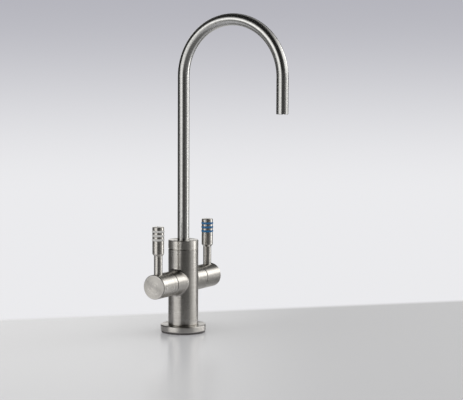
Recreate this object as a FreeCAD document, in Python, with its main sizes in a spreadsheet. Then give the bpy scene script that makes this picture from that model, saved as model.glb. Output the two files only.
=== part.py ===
"""A two-lever tap for chilled and ambient drinking water, with a swan-neck spout.

Lengths are in millimetres. Z points up and height 0 is the worktop, under the gasket.
X points from the column to the spout's outlet. The two valves lie along Y: ambient
water on the -Y side and chilled water on the +Y side, each with its own lever.
Each piece is an object of the document, and its sizes come from the sheet named Sizes.
"""

import FreeCAD, Part
import enum
import math
import os
import types

import Sketcher

SIZES = {
    # Column, collar, foot flange and gasket
    "column_radius": 16.0,
    "column_height": 80.9,
    "collar_height": 9.6,
    "foot_chamfer": 0.6,
    "seam_chamfer": 0.3,
    "seam_recess": 0.9,
    "seam_width": 0.5,
    "rim_chamfer": 0.4,
    "flange_radius": 24.2,
    "flange_thickness": 6.4,
    "flange_rounding": 1.0,
    "gasket_thickness": 1.8,
    "gasket_inset": 1.1,
    "foot_spigot_radius": 14.0,
    "foot_spigot_depth": 3.0,
    # Threaded shank and the parts that clamp it under the worktop
    "shank_radius": 12.0,
    "shank_bore_radius": 9.4,
    "shank_engagement": 11.0,
    "shank_drop": 50.0,
    "shank_chamfer": 1.0,
    "worktop_thickness": 12.0,
    "washer_radius": 22.0,
    "washer_bore_gap": 0.5,
    "rubber_washer_thickness": 3.0,
    "clamp_washer_thickness": 2.0,
    "back_nut_across_flats": 32.0,
    "back_nut_height": 8.0,
    # Inlet tails and the water ways up to the valves
    "tail_offset": 5.0,
    "tail_bore_radius": 2.2,
    "tail_stem_radius": 3.0,
    "tail_spigot_radius": 3.175,
    "tail_spigot_length": 18.0,
    "tail_tip_chamfer": 0.3,
    "tail_bead_radius": 4.0,
    "tail_bead_length": 1.5,
    "tail_head_radius": 4.0,
    "tail_head_length": 7.5,
    "tail_drop": 25.0,
    "tail_engagement": 8.0,
    "tail_groove_depth": 1.0,
    "tail_groove_width": 1.6,
    "tail_groove_setback": 1.4,
    "supply_radius": 2.4,
    "supply_overrun": 0.8,
    "seat_port_radius": 2.0,
    "outlet_port_radius": 1.2,
    "outlet_port_lift": 8.6,
    "riser_radius": 4.0,
    "riser_lift": 6.0,
    # Side arms and valve chambers
    "arm_height": 54.6,
    "arm_radius": 12.85,
    "arm_seam": 29.25,
    "arm_blend": 2.4,
    "seam_gap": 0.7,
    "chamber_floor": 9.0,
    "chamber_radius": 10.4,
    # Valve cartridge
    "seat_seal_radius": 6.8,
    "seat_seal_bore_radius": 3.2,
    "seat_seal_thickness": 1.8,
    "cartridge_setback": 0.4,
    "cartridge_nose_radius": 8.0,
    "cartridge_bore_radius": 6.9,
    "cartridge_land_length": 6.0,
    "cartridge_hex_across_flats": 17.0,
    "cartridge_hex_setback": 0.3,
    "cartridge_hex_height": 2.4,
    "cartridge_neck_radius": 6.5,
    "cartridge_neck_length": 4.75,
    "cartridge_groove_depth": 1.1,
    "cartridge_groove_width": 1.5,
    "cartridge_groove_setback": 1.0,
    "cartridge_window_width": 7.0,
    # Ceramic discs
    "fixed_disc_thickness": 2.6,
    "moving_disc_thickness": 2.8,
    "moving_disc_radius": 6.6,
    "disc_film": 0.02,
    "disc_window_inner": 1.9,
    "disc_window_outer": 5.3,
    "disc_window_angle": 70.0,
    # Spindle with its blade, foot, stop lug, groove for the seal and groove for the clip
    "spindle_radius": 3.9,
    "spindle_foot_radius": 6.4,
    "spindle_foot_thickness": 1.8,
    "spindle_blade_thickness": 2.8,
    "spindle_blade_depth": 0.9,
    "spindle_flow_gap": 2.0,
    "stop_lug_angle": 40.0,
    "stop_lug_height": 1.3,
    "stop_lug_play": 4.0,
    "spindle_groove_depth": 1.2,
    "spindle_groove_width": 1.8,
    "spindle_groove_setback": 4.0,
    "spindle_end_radius": 3.5,
    "spindle_end_length": 8.0,
    "spindle_end_flat": 2.6,
    "clip_radius": 5.4,
    "clip_thickness": 0.9,
    "clip_groove_depth": 0.7,
    "clip_opening": 5.0,
    # Lever hub and its grub screw
    "hub_end": 57.0,
    "hub_chamfer": 0.6,
    "hub_cavity_radius": 7.2,
    "hub_cavity_clearance": 2.5,
    "hub_bore_end_gap": 0.5,
    "hub_screw_reach": 40.5,
    "hub_screw_radius": 2.0,
    "hub_screw_length": 7.0,
    "hub_screw_hex": 2.0,
    "hub_screw_hex_depth": 2.0,
    # Lever rod
    "rod_reach": 48.9,
    "rod_radius": 4.4,
    "rod_seat": 10.4,
    "rod_thread_radius": 2.95,
    "rod_thread_length": 8.4,
    "rod_thread_end_gap": 0.5,
    # Grip with three rings
    "grip_bottom": 31.9,
    "grip_length": 30.2,
    "grip_radius": 6.05,
    "grip_cone_height": 2.2,
    "grip_top_chamfer": 0.5,
    "grip_thread_length": 12.0,
    "ring_top_setback": 4.7,
    "ring_pitch": 4.35,
    "ring_height": 2.3,
    "ring_proud": 0.45,
    # Spout
    "tube_radius": 6.2,
    "tube_wall": 1.0,
    "tube_end_chamfer": 0.4,
    "bend_radius": 59.1,
    "bend_height": 271.5,
    "outlet_height": 234.2,
    "spout_bore_depth": 22.0,
    "spout_bore_radius": 8.6,
    "foot_tube_seat": 3.0,
    "foot_groove_depth": 1.3,
    "foot_groove_width": 1.9,
    "foot_groove_pitch": 5.0,
    "foot_groove_lift": 3.0,
    "foot_flange_radius": 11.8,
    "foot_flange_thickness": 2.4,
    "wear_washer_radius": 12.1,
    "wear_washer_thickness": 1.0,
    "collar_thread_radius": 12.5,
    "collar_thread_depth": 8.0,
    "collar_lip": 1.0,
    "bush_radius": 8.2,
    "insert_recess": 1.5,
    "insert_length": 5.0,
    "insert_hole_radius": 1.0,
    "insert_hole_circle": 3.1,
    # Clearances
    "running_gap": 0.05,
    "thread_gap": 0.05,
    "slip_gap": 0.3,
    "end_gap": 0.5,
}

RINGS = ("lower", "middle", "upper")
SIDES = {"ambient": -1, "chilled": 1}
FULL_TURN = 360.0
QUARTER_TURN = 90.0
HEX_SIDES = 6
INSERT_OUTER_HOLES = 6
UP = FreeCAD.Vector(0, 0, 1)
TOUCHING = 1e-6
LEAST_CUT = 1e-3


class Fixed(enum.IntEnum):
    """A sketch's own origin and axes, as its constraints number them."""

    ORIGIN = -1
    H_AXIS = -1
    V_AXIS = -2


class Point(enum.IntEnum):
    """The points of a sketch's line or arc, as its constraints number them."""

    START = enum.auto()
    END = enum.auto()
    CENTRE = enum.auto()


class Size:
    """A length or angle: the number itself and the sheet expression that gives it."""

    def __init__(self, text, number):
        self.text = text
        self.number = number

    def __add__(self, other):
        return Size(f"({self.text} + {as_size(other).text})", self.number + as_size(other).number)

    def __sub__(self, other):
        return Size(f"({self.text} - {as_size(other).text})", self.number - as_size(other).number)

    def __mul__(self, factor):
        return Size(f"({self.text} * {factor})", self.number * factor)

    def __truediv__(self, divisor):
        return Size(f"({self.text} / {divisor})", self.number / divisor)

    def __neg__(self):
        return self * -1


def as_size(value):
    return value if isinstance(value, Size) else Size(str(value), value)


ZERO = Size("0", 0)


def make_sheet():
    """Put every driving size in the document's sheet and return them as Size values."""
    sheet = doc.addObject("Spreadsheet::Sheet", "Sizes")
    for row, (alias, value) in enumerate(SIZES.items(), 1):
        sheet.set(f"A{row}", alias)
        sheet.set(f"B{row}", str(value))
        sheet.setAlias(f"B{row}", alias)
    doc.recompute()
    return types.SimpleNamespace(
        **{alias: Size(f"Sizes.{alias}", float(getattr(sheet, alias))) for alias in SIZES}
    )


doc = FreeCAD.newDocument("water_tap")
s = make_sheet()

# Heights up the column's axis
flange_bottom = s.gasket_thickness
column_seat = flange_bottom + s.flange_thickness
column_foot = column_seat - s.foot_spigot_depth
shank_top = column_seat + s.shank_engagement
tail_socket_top = shank_top + s.tail_engagement
column_top = column_seat + s.column_height
collar_top = column_top + s.collar_height
spout_bore_floor = column_top - s.spout_bore_depth
spout_shoulder = column_top - s.collar_thread_depth
riser_floor = s.arm_height + s.riser_lift

# Heights of the spout's foot and of what holds it down
foot_bottom = spout_bore_floor + s.end_gap
foot_flange_bottom = spout_shoulder + s.wear_washer_thickness + s.running_gap
foot_flange_top = foot_flange_bottom + s.foot_flange_thickness
upper_washer_bottom = foot_flange_top + s.running_gap
collar_bottom = upper_washer_bottom + s.wear_washer_thickness
bush_top = collar_top - s.collar_lip
tube_bottom = foot_bottom + s.foot_tube_seat
tube_bore = s.tube_radius - s.tube_wall

# Places along an arm, counted outwards from the column's axis
seal_end = s.chamber_floor + s.seat_seal_thickness
fixed_disc_end = seal_end + s.fixed_disc_thickness
moving_disc_start = fixed_disc_end + s.disc_film
moving_disc_end = moving_disc_start + s.moving_disc_thickness
blade_start = moving_disc_end - s.spindle_blade_depth
spindle_foot_start = moving_disc_end + s.spindle_flow_gap
spindle_foot_end = spindle_foot_start + s.spindle_foot_thickness
stop_lug_end = spindle_foot_end + s.stop_lug_height
cartridge_shoulder = spindle_foot_end + s.slip_gap
stop_recess_end = stop_lug_end + s.slip_gap
hex_end = s.arm_seam - s.cartridge_hex_setback
hex_start = hex_end - s.cartridge_hex_height
land_start = hex_start - s.cartridge_land_length
land_radius = s.chamber_radius - s.thread_gap
neck_end = s.arm_seam + s.cartridge_neck_length
clip_start = neck_end + s.slip_gap
clip_end = clip_start + s.clip_thickness
spindle_end_start = clip_end + s.end_gap
spindle_end = spindle_end_start + s.spindle_end_length
spindle_groove_start = stop_recess_end + s.spindle_groove_setback
hub_start = s.arm_seam + s.seam_gap
hub_cavity_end = neck_end + s.hub_cavity_clearance

# Heights up a lever, counted from the arm's axis
grip_top = s.grip_bottom + s.grip_length
rod_foot = s.rod_seat - s.rod_thread_length


def hexagon(across_flats):
    """The corners of a hexagon about the origin."""
    corner_radius = across_flats / (2 * math.cos(math.pi / HEX_SIDES))
    turns = [2 * math.pi * side / HEX_SIDES for side in range(HEX_SIDES)]
    corners = []
    for turn in turns:
        across = round(math.cos(turn), 9)
        up = round(math.sin(turn), 9)
        corners.append((corner_radius * across, corner_radius * up))
    return corners


def rectangle(left, right, bottom, top):
    return [(left, bottom), (right, bottom), (right, top), (left, top)]


def make_body(name):
    body = doc.addObject("PartDesign::Body", name)
    body.Label = name
    return body


def make_sketch(body, role="XZ_Plane", lift=ZERO, turn=0.0):
    """A sketch on one of the body's own planes, lifted along its normal and turned in it."""
    sketch = body.newObject("Sketcher::SketchObject", f"{body.Label}_sketch")
    plane = next(item for item in body.Origin.OriginFeatures if item.Role == role)
    sketch.AttachmentSupport = [(plane, "")]
    sketch.MapMode = "FlatFace"
    place = FreeCAD.Vector(0, 0, lift.number)
    sketch.AttachmentOffset = FreeCAD.Placement(place, FreeCAD.Rotation(FreeCAD.Vector(0, 1, 0), turn))
    if lift is not ZERO:
        sketch.setExpression("AttachmentOffset.Base.z", lift.text)
    return sketch


def tie(sketch, direction, geometry, point, length):
    """Hold one coordinate of a sketch point at its distance from the sketch's origin."""
    if length.number == 0:
        axis = Fixed.V_AXIS if direction == "DistanceX" else Fixed.H_AXIS
        sketch.addConstraint(Sketcher.Constraint("PointOnObject", geometry, point, axis))
        return
    ends = (Fixed.ORIGIN, Point.START, geometry, point)
    if length.number < 0:
        ends = (geometry, point, Fixed.ORIGIN, Point.START)
        length = -length
    index = sketch.addConstraint(Sketcher.Constraint(direction, *ends, length.number))
    sketch.setExpression(f"Constraints[{index}]", length.text)


def draw_outline(sketch, corners):
    """A closed outline of straight edges through the corners, each tied to the sheet."""
    first = sketch.GeometryCount
    points = [FreeCAD.Vector(across.number, up.number, 0) for across, up in corners]
    for index, point in enumerate(points):
        following = points[(index + 1) % len(points)]
        sketch.addGeometry(Part.LineSegment(point, following), False)
    for index, (across, up) in enumerate(corners):
        line = first + index
        following = first + (index + 1) % len(corners)
        sketch.addConstraint(Sketcher.Constraint("Coincident", line, Point.END, following, Point.START))
        tie(sketch, "DistanceX", line, Point.START, across)
        tie(sketch, "DistanceY", line, Point.START, up)
    return sketch


def draw_circle(sketch, radius, across=ZERO, up=ZERO):
    centre = FreeCAD.Vector(across.number, up.number, 0)
    geometry = sketch.addGeometry(Part.Circle(centre, UP, radius.number), False)
    tie(sketch, "DistanceX", geometry, Point.CENTRE, across)
    tie(sketch, "DistanceY", geometry, Point.CENTRE, up)
    index = sketch.addConstraint(Sketcher.Constraint("Radius", geometry, radius.number))
    sketch.setExpression(f"Constraints[{index}]", radius.text)
    return sketch


def spin(body, sketch, kind="Revolution", angle=None):
    """Turn the sketch about the body's own Z axis, a full turn or evenly each side of it."""
    feature = body.newObject(f"PartDesign::{kind}", f"{body.Label}_{kind.lower()}")
    feature.Profile = sketch
    feature.ReferenceAxis = (sketch, ["V_Axis"])
    feature.Angle = FULL_TURN
    if angle is not None:
        feature.Midplane = True
        feature.setExpression("Angle", angle.text)
    return feature


def extrude(body, sketch, length, kind="Pad", reverse=False, both_ways=False):
    feature = body.newObject(f"PartDesign::{kind}", f"{body.Label}_{kind.lower()}")
    feature.Profile = sketch
    feature.Reversed = reverse
    if both_ways:
        feature.SideType = "Symmetric"
    feature.setExpression("Length", length.text)
    return feature


def edges_of(feature, chosen):
    """The names of the feature's edges that the function chosen picks."""
    doc.recompute()
    edges = enumerate(feature.Shape.Edges, 1)
    return [f"Edge{number}" for number, edge in edges if chosen(edge)]


def soften(body, kind, edges, size):
    """A Fillet or Chamfer of the given size on edges of the body's last feature."""
    base = body.Tip
    feature = body.newObject(f"PartDesign::{kind}", f"{body.Label}_{kind.lower()}")
    feature.Base = (base, edges)
    feature.setExpression("Radius" if kind == "Fillet" else "Size", size.text)
    return feature


def place(body, across=ZERO, along=ZERO, up=ZERO, rotation=None):
    """Put a body in the tap, at places that follow the sheet."""
    spot = FreeCAD.Vector(across.number, along.number, up.number)
    body.Placement = FreeCAD.Placement(spot, rotation or FreeCAD.Rotation())
    for letter, length in (("x", across), ("y", along), ("z", up)):
        if length is not ZERO:
            body.setExpression(f"Placement.Base.{letter}", length.text)
    return body


def place_on_arm(body, side):
    """Lay a body along an arm: its own Z outwards and its own Y upwards."""
    if SIDES[side] > 0:
        outwards = FreeCAD.Rotation(FreeCAD.Vector(0, 1, 1), 180)
    else:
        outwards = FreeCAD.Rotation(FreeCAD.Vector(1, 0, 0), 90)
    return place(body, up=s.arm_height, rotation=outwards)


def place_on_lever(body, side):
    """Stand a body on a lever, with its own origin on the arm's axis."""
    return place(body, along=s.rod_reach * SIDES[side], up=s.arm_height)


def turned(name, corners):
    """A body turned from one outline of (radius, height) corners."""
    body = make_body(name)
    spin(body, draw_outline(make_sketch(body), corners))
    return body


def ring(name, inner, outer, bottom, top):
    """A plain turned ring between two radii and two heights."""
    return turned(name, rectangle(inner, outer, bottom, top))


def seal(name, inner, outer, bottom, top):
    """A rubber ring whose corners are cut back by a quarter of its height."""
    cut = (top - bottom) / 4
    corners = [
        (inner + cut, bottom),
        (outer - cut, bottom),
        (outer, bottom + cut),
        (outer, top - cut),
        (outer - cut, top),
        (inner + cut, top),
        (inner, top - cut),
        (inner, bottom + cut),
    ]
    return turned(name, corners)


def column():
    """Column with its two side arms in one piece, bored for water ways, valves and spout."""
    body = turned("column", [
        (ZERO, column_foot),
        (s.foot_spigot_radius, column_foot),
        (s.foot_spigot_radius, column_seat),
        (s.column_radius - s.foot_chamfer, column_seat),
        (s.column_radius, column_seat + s.foot_chamfer),
        (s.column_radius, column_top - s.seam_chamfer),
        (s.column_radius - s.seam_chamfer, column_top),
        (ZERO, column_top),
    ])
    arms = draw_circle(make_sketch(body), s.arm_radius, up=s.arm_height)
    extrude(body, arms, s.arm_seam * 2, both_ways=True)

    def is_saddle(edge):
        box = edge.BoundBox
        return box.YLength > s.arm_blend.number and box.ZLength > s.arm_radius.number

    soften(body, "Fillet", edges_of(body.Tip, is_saddle), s.arm_blend)

    def is_arm_end(edge):
        box = edge.BoundBox
        return box.YLength < TOUCHING and abs(abs(box.YMin) - s.arm_seam.number) < TOUCHING

    soften(body, "Chamfer", edges_of(body.Tip, is_arm_end), s.seam_chamfer)
    spin(body, draw_outline(make_sketch(body), [
        (ZERO, riser_floor),
        (s.riser_radius, riser_floor),
        (s.riser_radius, spout_bore_floor),
        (s.spout_bore_radius, spout_bore_floor),
        (s.spout_bore_radius, spout_shoulder),
        (s.collar_thread_radius, spout_shoulder),
        (s.collar_thread_radius, column_top),
        (ZERO, column_top),
    ]), "Groove")
    shank_socket = rectangle(ZERO, s.shank_radius + s.thread_gap, column_foot, shank_top)
    spin(body, draw_outline(make_sketch(body), shank_socket), "Groove")
    for side in SIDES.values():
        bore_valve_side(body, side)
    return body


def bore_valve_side(body, side):
    """The valve chamber of one arm, and the water ways that lead to it and from it."""
    inwards = side > 0
    chamber = make_sketch(body, lift=s.arm_seam * -side)
    draw_circle(chamber, s.chamber_radius, up=s.arm_height)
    extrude(body, chamber, s.arm_seam - s.chamber_floor, "Pocket", reverse=inwards)
    port = make_sketch(body, lift=s.chamber_floor * -side)
    draw_circle(port, s.seat_port_radius, up=s.arm_height)
    extrude(body, port, s.chamber_floor - s.tail_offset, "Pocket", reverse=inwards)
    outlet = make_sketch(body, lift=s.chamber_floor * -side)
    draw_circle(outlet, s.outlet_port_radius, up=s.arm_height + s.outlet_port_lift)
    extrude(body, outlet, s.chamber_floor, "Pocket", reverse=inwards)
    supply = make_sketch(body, "XY_Plane", lift=shank_top)
    draw_circle(supply, s.supply_radius, up=s.tail_offset * side)
    supply_length = s.arm_height + s.seat_port_radius + s.supply_overrun - shank_top
    extrude(body, supply, supply_length, "Pocket", reverse=True)
    socket = make_sketch(body, "XY_Plane", lift=shank_top)
    draw_circle(socket, s.tail_head_radius + s.thread_gap, up=s.tail_offset * side)
    extrude(body, socket, s.tail_engagement, "Pocket", reverse=True)


def foot_flange():
    """The round flange under the column, recessed for the column's spigot."""
    bore = s.shank_radius + s.washer_bore_gap
    recess = s.foot_spigot_radius + s.thread_gap
    body = turned("foot_flange", [
        (bore, flange_bottom),
        (s.flange_radius, flange_bottom),
        (s.flange_radius, column_seat),
        (recess, column_seat),
        (recess, column_foot),
        (bore, column_foot),
    ])

    def is_rim(edge):
        box = edge.BoundBox
        return box.ZLength < TOUCHING and abs(box.XLength - 2 * s.flange_radius.number) < TOUCHING

    soften(body, "Fillet", edges_of(body.Tip, is_rim), s.flange_rounding)
    return body


def foot_gasket():
    bore = s.shank_radius + s.washer_bore_gap
    return ring("foot_gasket", bore, s.flange_radius - s.gasket_inset, ZERO, flange_bottom)


def collar():
    """The cap that screws into the column, above a narrow shadow gap, and holds the spout's foot."""
    seam_top = column_top + s.seam_width
    return turned("collar", [
        (s.tube_radius + s.slip_gap, collar_top),
        (s.tube_radius + s.slip_gap, bush_top),
        (s.bush_radius, bush_top),
        (s.bush_radius, collar_bottom),
        (s.collar_thread_radius - s.thread_gap, collar_bottom),
        (s.collar_thread_radius - s.thread_gap, column_top),
        (s.column_radius - s.seam_recess, column_top),
        (s.column_radius - s.seam_recess, seam_top),
        (s.column_radius - s.seam_chamfer, seam_top),
        (s.column_radius, seam_top + s.seam_chamfer),
        (s.column_radius, collar_top - s.rim_chamfer),
        (s.column_radius - s.rim_chamfer, collar_top),
    ])


def collar_bush():
    """The plastic bush in the collar that guides the turning tube."""
    inner = s.tube_radius + s.running_gap
    return ring("collar_bush", inner, s.bush_radius - s.thread_gap, collar_bottom, bush_top)


def wear_washers():
    inner = s.spout_bore_radius + s.slip_gap
    outer = s.wear_washer_radius
    lower_top = spout_shoulder + s.wear_washer_thickness
    ring("lower_wear_washer", inner, outer, spout_shoulder, lower_top)
    upper_inner = s.tube_radius + s.slip_gap
    ring("upper_wear_washer", upper_inner, outer, upper_washer_bottom, collar_bottom)


def shank():
    """The threaded pipe that passes through the worktop, screwed into the column."""
    length = s.shank_drop + shank_top
    body = turned("threaded_shank", [
        (s.shank_bore_radius, ZERO),
        (s.shank_radius - s.shank_chamfer, ZERO),
        (s.shank_radius, s.shank_chamfer),
        (s.shank_radius, length - s.shank_chamfer),
        (s.shank_radius - s.shank_chamfer, length),
        (s.shank_bore_radius, length),
    ])
    return place(body, up=-s.shank_drop)


def under_worktop():
    """The rubber washer, the clamp washer and the back nut, stacked upwards."""
    inner = s.shank_radius + s.washer_bore_gap
    clamp_bottom = -(s.worktop_thickness + s.rubber_washer_thickness + s.clamp_washer_thickness)
    rubber = ring("rubber_washer", inner, s.washer_radius, ZERO, s.rubber_washer_thickness)
    place(rubber, up=clamp_bottom + s.clamp_washer_thickness)
    clamp = ring("clamp_washer", inner, s.washer_radius, ZERO, s.clamp_washer_thickness)
    place(clamp, up=clamp_bottom)
    nut = make_body("back_nut")
    sketch = draw_outline(make_sketch(nut, "XY_Plane"), hexagon(s.back_nut_across_flats))
    draw_circle(sketch, s.shank_radius + s.thread_gap)
    extrude(nut, sketch, s.back_nut_height)
    place(nut, up=clamp_bottom - s.back_nut_height)


def inlet_tail(side):
    """A stub pipe from the column down through the shank, with a spigot for the supply hose."""
    length = s.tail_drop + s.shank_drop + tail_socket_top - s.end_gap
    bead_end = s.tail_spigot_length + s.tail_bead_length
    head_bottom = length - s.tail_head_length
    groove_top = length - s.tail_groove_setback
    groove_bottom = groove_top - s.tail_groove_width
    groove_floor = s.tail_head_radius - s.tail_groove_depth
    offset = s.tail_offset * SIDES[side]
    body = turned(f"{side}_inlet_tail", [
        (s.tail_bore_radius, ZERO),
        (s.tail_spigot_radius - s.tail_tip_chamfer, ZERO),
        (s.tail_spigot_radius, s.tail_tip_chamfer),
        (s.tail_spigot_radius, s.tail_spigot_length),
        (s.tail_bead_radius, s.tail_spigot_length),
        (s.tail_bead_radius, bead_end),
        (s.tail_stem_radius, bead_end),
        (s.tail_stem_radius, head_bottom),
        (s.tail_head_radius, head_bottom),
        (s.tail_head_radius, groove_bottom),
        (groove_floor, groove_bottom),
        (groove_floor, groove_top),
        (s.tail_head_radius, groove_top),
        (s.tail_head_radius, length),
        (s.tail_bore_radius, length),
    ])
    tail_bottom = -(s.tail_drop + s.shank_drop)
    place(body, along=offset, up=tail_bottom)
    packing = seal(f"{side}_tail_seal", groove_floor, s.tail_head_radius, groove_bottom, groove_top)
    place(packing, along=offset, up=tail_bottom)


def spout_tube():
    """The swan neck: a round tube along a straight, a half circle and a short drop."""
    body = make_body("spout_tube")
    path = make_sketch(body)
    left = FreeCAD.Vector(0, s.bend_height.number, 0)
    middle = FreeCAD.Vector(s.bend_radius.number, s.bend_height.number, 0)
    right = FreeCAD.Vector(2 * s.bend_radius.number, s.bend_height.number, 0)
    rise = path.addGeometry(Part.LineSegment(FreeCAD.Vector(0, tube_bottom.number, 0), left), False)
    arc = path.addGeometry(Part.ArcOfCircle(Part.Circle(middle, UP, s.bend_radius.number), 0, math.pi), False)
    outlet = FreeCAD.Vector(right.x, s.outlet_height.number, 0)
    drop = path.addGeometry(Part.LineSegment(right, outlet), False)
    path.addConstraint(Sketcher.Constraint("Coincident", rise, Point.END, arc, Point.END))
    path.addConstraint(Sketcher.Constraint("Coincident", drop, Point.START, arc, Point.START))
    tie(path, "DistanceX", rise, Point.START, ZERO)
    tie(path, "DistanceY", rise, Point.START, tube_bottom)
    tie(path, "DistanceX", rise, Point.END, ZERO)
    tie(path, "DistanceY", rise, Point.END, s.bend_height)
    tie(path, "DistanceX", arc, Point.CENTRE, s.bend_radius)
    tie(path, "DistanceY", arc, Point.CENTRE, s.bend_height)
    tie(path, "DistanceY", drop, Point.START, s.bend_height)
    path.addConstraint(Sketcher.Constraint("Vertical", drop))
    tie(path, "DistanceY", drop, Point.END, s.outlet_height)
    section = make_sketch(body, "XY_Plane", lift=tube_bottom)
    draw_circle(section, s.tube_radius)
    draw_circle(section, tube_bore)
    pipe = body.newObject("PartDesign::AdditivePipe", "spout_tube_pipe")
    pipe.Profile = section
    pipe.Spine = (path, ["Edge1", "Edge2", "Edge3"])

    def is_outlet_rim(edge):
        box = edge.BoundBox
        return box.ZLength < TOUCHING and abs(box.ZMin - s.outlet_height.number) < TOUCHING

    soften(body, "Chamfer", edges_of(pipe, is_outlet_rim), s.tube_end_chamfer)
    return body


def foot_grooves():
    """Bottom heights of the two seal grooves in the spout's foot."""
    lower = foot_bottom + s.foot_groove_lift
    return {"lower": lower, "upper": lower + s.foot_groove_pitch}


def spout_foot():
    """The bush on the tube's lower end, with a flange and two seal grooves."""
    outer = s.spout_bore_radius - s.running_gap
    floor = outer - s.foot_groove_depth
    corners = [(tube_bore, foot_bottom), (outer, foot_bottom)]
    for bottom in foot_grooves().values():
        top = bottom + s.foot_groove_width
        corners += [(outer, bottom), (floor, bottom), (floor, top), (outer, top)]
    tube_seat = s.tube_radius + s.thread_gap
    corners += [
        (outer, foot_flange_bottom),
        (s.foot_flange_radius, foot_flange_bottom),
        (s.foot_flange_radius, foot_flange_top),
        (tube_seat, foot_flange_top),
        (tube_seat, tube_bottom),
        (tube_bore, tube_bottom),
    ]
    turned("spout_foot", corners)
    for name, bottom in foot_grooves().items():
        seal(f"{name}_spout_seal", floor, outer, bottom, bottom + s.foot_groove_width)


def jet_insert():
    """The disc with seven bores, just inside the outlet, that calms the jet."""
    body = make_body("jet_insert")
    rim = draw_circle(make_sketch(body, "XY_Plane"), tube_bore - s.thread_gap)
    extrude(body, rim, s.insert_length)
    centre = draw_circle(make_sketch(body, "XY_Plane"), s.insert_hole_radius)
    extrude(body, centre, s.insert_length, "Pocket", reverse=True)
    hole = make_sketch(body, "XY_Plane")
    draw_circle(hole, s.insert_hole_radius, across=s.insert_hole_circle)
    bore = extrude(body, hole, s.insert_length, "Pocket", reverse=True)
    pattern = body.newObject("PartDesign::PolarPattern", "jet_insert_pattern")
    pattern.Originals = [bore]
    pattern.Axis = (hole, ["N_Axis"])
    pattern.Angle = FULL_TURN
    pattern.Occurrences = INSERT_OUTER_HOLES
    body.Tip = pattern
    return place(body, across=s.bend_radius * 2, up=s.outlet_height + s.insert_recess)


def cartridge(side):
    """The valve's fixed housing, screwed into the arm, with its seal in a groove."""
    land_end = hex_start
    groove_end = land_end - s.cartridge_groove_setback
    groove_start = groove_end - s.cartridge_groove_width
    groove_floor = land_radius - s.cartridge_groove_depth
    neck_bore = s.spindle_radius + s.running_gap
    start = s.chamber_floor + s.cartridge_setback
    body = turned(f"{side}_cartridge", [
        (s.cartridge_bore_radius, start),
        (s.cartridge_nose_radius, start),
        (s.cartridge_nose_radius, land_start),
        (land_radius, land_start),
        (land_radius, groove_start),
        (groove_floor, groove_start),
        (groove_floor, groove_end),
        (land_radius, groove_end),
        (land_radius, land_end),
        (s.cartridge_neck_radius, land_end),
        (s.cartridge_neck_radius, neck_end),
        (neck_bore, neck_end),
        (neck_bore, cartridge_shoulder),
        (s.cartridge_bore_radius, cartridge_shoulder),
    ])
    flats = make_sketch(body, "XY_Plane", lift=hex_start)
    draw_outline(flats, hexagon(s.cartridge_hex_across_flats))
    draw_circle(flats, s.cartridge_neck_radius)
    extrude(body, flats, s.cartridge_hex_height)
    sweep = s.stop_lug_angle + QUARTER_TURN
    recess = rectangle(neck_bore, s.cartridge_bore_radius, cartridge_shoulder, stop_recess_end)
    spin(body, draw_outline(make_sketch(body, "YZ_Plane"), recess), "Groove", sweep)
    window = make_sketch(body, "YZ_Plane")
    half = s.cartridge_window_width / 2
    draw_outline(window, rectangle(-half, half, moving_disc_end, spindle_foot_start))
    extrude(body, window, s.cartridge_nose_radius * 2, "Pocket", both_ways=True)
    place_on_arm(body, side)
    packing = seal(f"{side}_cartridge_seal", groove_floor, land_radius, groove_start, groove_end)
    place_on_arm(packing, side)


def seat_seal(side):
    body = ring(f"{side}_seat_seal", s.seat_seal_bore_radius, s.seat_seal_radius, s.chamber_floor, seal_end)
    return place_on_arm(body, side)


def disc(name, radius, start, end, plane):
    """A ceramic disc with two windows, one each side of its centre in the given plane."""
    body = turned(name, rectangle(ZERO, radius, start, end))
    window = make_sketch(body, plane)
    draw_outline(window, rectangle(s.disc_window_inner, s.disc_window_outer, start, end))
    draw_outline(window, rectangle(-s.disc_window_outer, -s.disc_window_inner, start, end))
    spin(body, window, "Groove", s.disc_window_angle)
    return body


def discs(side):
    """The fixed disc with level windows and the moving disc, closed, with upright ones."""
    radius = s.cartridge_bore_radius - s.thread_gap
    place_on_arm(disc(f"{side}_fixed_disc", radius, seal_end, fixed_disc_end, "XZ_Plane"), side)
    moving = disc(f"{side}_moving_disc", s.moving_disc_radius, moving_disc_start, moving_disc_end, "YZ_Plane")
    slot = make_sketch(moving, "XY_Plane", lift=blade_start)
    half_width = s.spindle_blade_thickness / 2 + s.running_gap
    draw_outline(slot, rectangle(-s.moving_disc_radius, s.moving_disc_radius, -half_width, half_width))
    extrude(moving, slot, s.spindle_blade_depth, "Pocket", reverse=True)
    place_on_arm(moving, side)


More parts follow.
